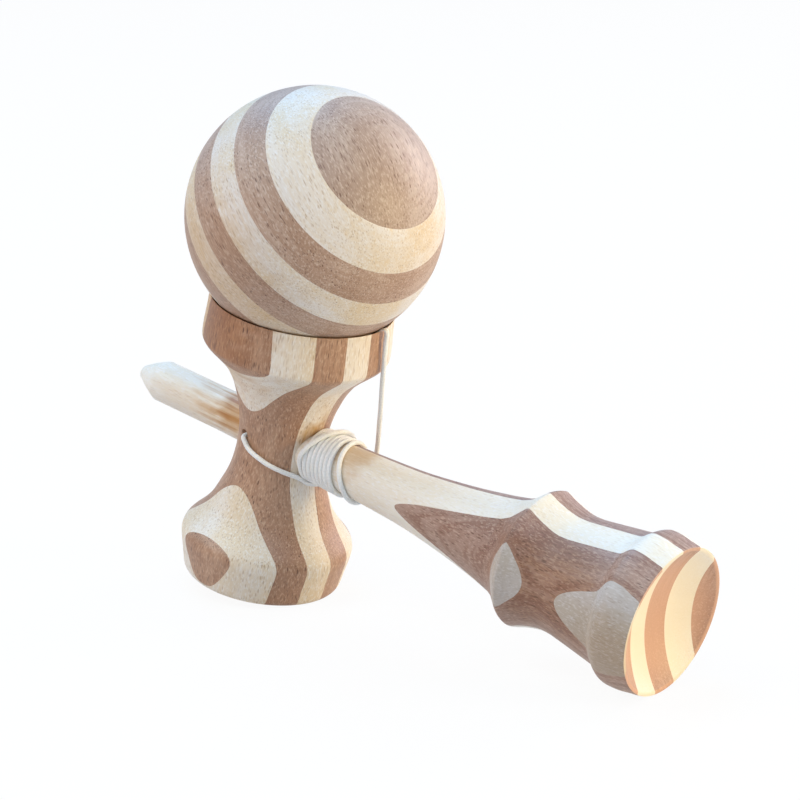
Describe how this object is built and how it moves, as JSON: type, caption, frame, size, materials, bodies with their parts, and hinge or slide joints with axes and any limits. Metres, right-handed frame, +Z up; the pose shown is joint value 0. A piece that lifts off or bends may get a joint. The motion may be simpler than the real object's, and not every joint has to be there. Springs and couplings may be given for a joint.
{
  "type": "kendama",
  "caption": "Kendama of laminated dark and light bamboo: a ball seated on the big cup of a cross piece, a handle with a spike and a base cup, and white string wound round the handle.",
  "frame": {"origin": "on the floor under the middle of the toy's bounding box, as it lies leaning on the rims of its small cup and its base cup", "axes": "+Z up; +X from the spike towards the base cup, level; the toy's handle slopes down along +X by 10.4 degrees"},
  "size_m": [0.1594, 0.06, 0.1228],
  "materials": {
    "bamboo_dark": "turned, sanded smooth and waxed",
    "bamboo_light": "turned, sanded smooth and waxed",
    "bead_wood": "smooth",
    "string_white": "tight fine braid"
  },
  "bodies": {
    "handle": {"handle_island_grip": "bamboo_light", "handle_island_cup": "bamboo_light", "handle_layer_2": "bamboo_dark", "handle_layer_3": "bamboo_light", "handle_layer_4": "bamboo_dark", "handle_layer_5": "bamboo_light", "handle_layer_6": "bamboo_dark", "string_winding": "string_white", "string_riser": "string_white"},
    "cross_piece": {"big_cup_side_1": "bamboo_dark", "big_cup_side_2": "bamboo_light", "big_cup_side_7": "bamboo_dark", "cross_layer_3": "bamboo_dark", "cross_layer_4": "bamboo_light", "cross_layer_5": "bamboo_dark", "cross_layer_6": "bamboo_light", "small_cup_side_1": "bamboo_dark", "small_cup_side_2": "bamboo_light", "small_cup_side_7": "bamboo_dark", "string_start_knot": "string_white", "string_waist": "string_white", "string_rim": "string_white"},
    "ball_stop": {"bead": "bead_wood", "string_end_knot": "string_white", "string_last": "string_white"},
    "ball": {"ball_layer_1": "bamboo_dark", "ball_layer_2": "bamboo_light", "ball_layer_3": "bamboo_dark", "ball_layer_4": "bamboo_light", "ball_layer_5": "bamboo_dark", "ball_layer_6": "bamboo_light", "ball_layer_7": "bamboo_dark", "ball_layer_8": "bamboo_light", "ball_layer_9": "bamboo_dark"}
  },
  "joints": [
    {"name": "cross_piece_slide", "type": "slide", "parent": "handle", "child": "cross_piece", "axis": [-0.9835, 0, 0.1809], "range_m": [0, 0.058]},
    {"name": "ball_lift", "type": "slide", "parent": "cross_piece", "child": "ball_stop", "axis": [0.1809, 0, 0.9835], "range_m": [0, 0.027]},
    {"name": "ball_spin", "type": "hinge", "parent": "ball_stop", "child": "ball", "pos_m": [-0.02557, 0, 0.09277], "axis": [-0.2196, 0.51, 0.8317], "continuous": true}
  ]
}
